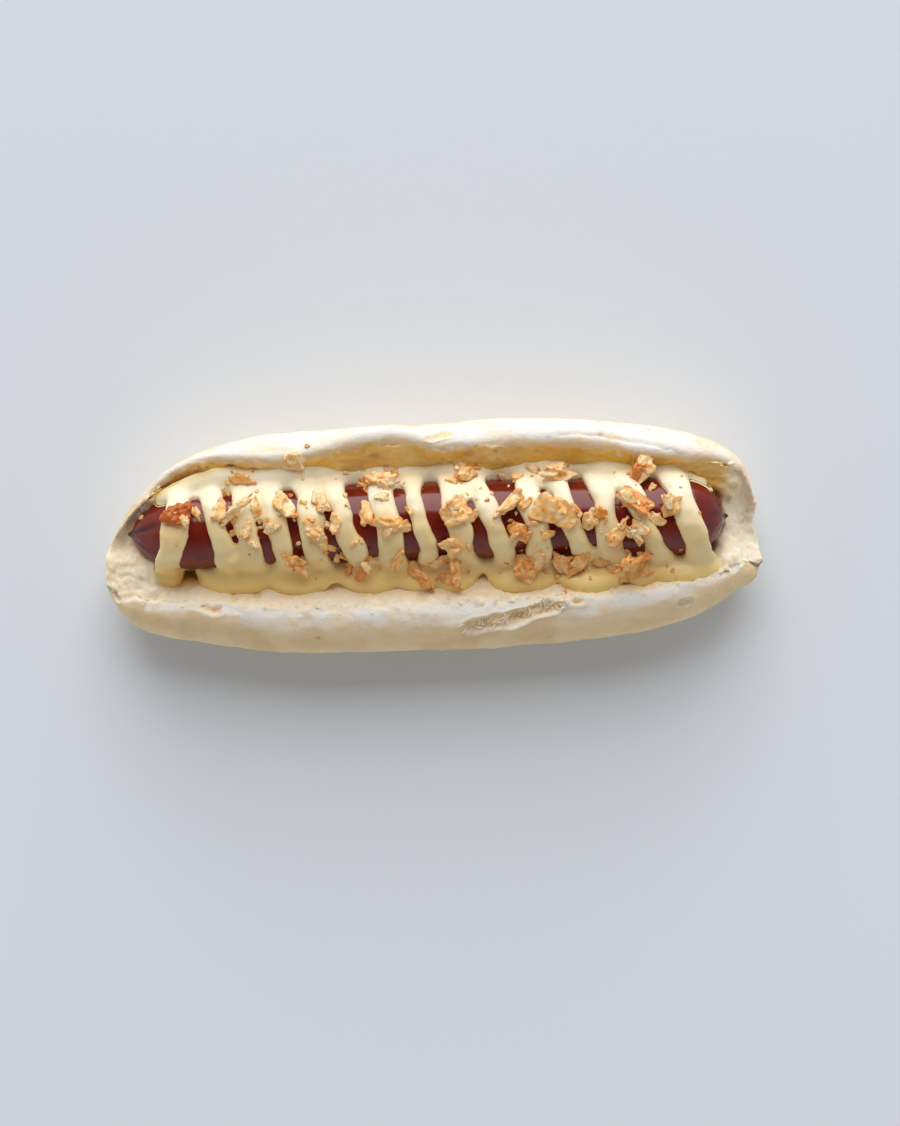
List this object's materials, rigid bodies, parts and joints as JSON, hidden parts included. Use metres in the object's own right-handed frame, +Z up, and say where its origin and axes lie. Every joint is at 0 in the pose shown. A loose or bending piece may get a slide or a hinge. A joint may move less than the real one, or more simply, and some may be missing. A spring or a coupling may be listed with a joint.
{
  "type": "hot dog",
  "caption": "Hot dog in a pale soft roll split along its top, with zigzag ribbons of melted cheese sauce and crisp fried onion.",
  "frame": {"origin": "centre of the base, at the middle of the overall length and width, on the surface it lies on", "axes": "+X along the roll, +Y from the low front half to the high back half, +Z up"},
  "size_m": [0.1992, 0.0712, 0.0425],
  "materials": {
    "roll": "floury pale crust and soft open crumb",
    "sausage": "dark red casing, shiny",
    "cheese_sauce": "melted, soft uneven gloss",
    "fried_onion": "crisp and rough, a little oily"
  },
  "bodies": {
    "root": {"roll": "roll", "sausage": "sausage", "cheese_sauce": "cheese_sauce", "onion_01": "fried_onion", "onion_02": "fried_onion", "onion_03": "fried_onion", "onion_04": "fried_onion", "onion_05": "fried_onion", "onion_06": "fried_onion", "onion_07": "fried_onion", "onion_08": "fried_onion", "onion_09": "fried_onion", "onion_10": "fried_onion", "onion_11": "fried_onion", "onion_12": "fried_onion", "onion_13": "fried_onion", "onion_14": "fried_onion", "onion_15": "fried_onion", "onion_16": "fried_onion", "onion_17": "fried_onion", "onion_18": "fried_onion", "onion_19": "fried_onion", "onion_20": "fried_onion", "onion_21": "fried_onion", "onion_22": "fried_onion", "onion_23": "fried_onion", "onion_24": "fried_onion", "onion_25": "fried_onion", "onion_26": "fried_onion", "onion_27": "fried_onion", "onion_28": "fried_onion"}
  },
  "joints": []
}
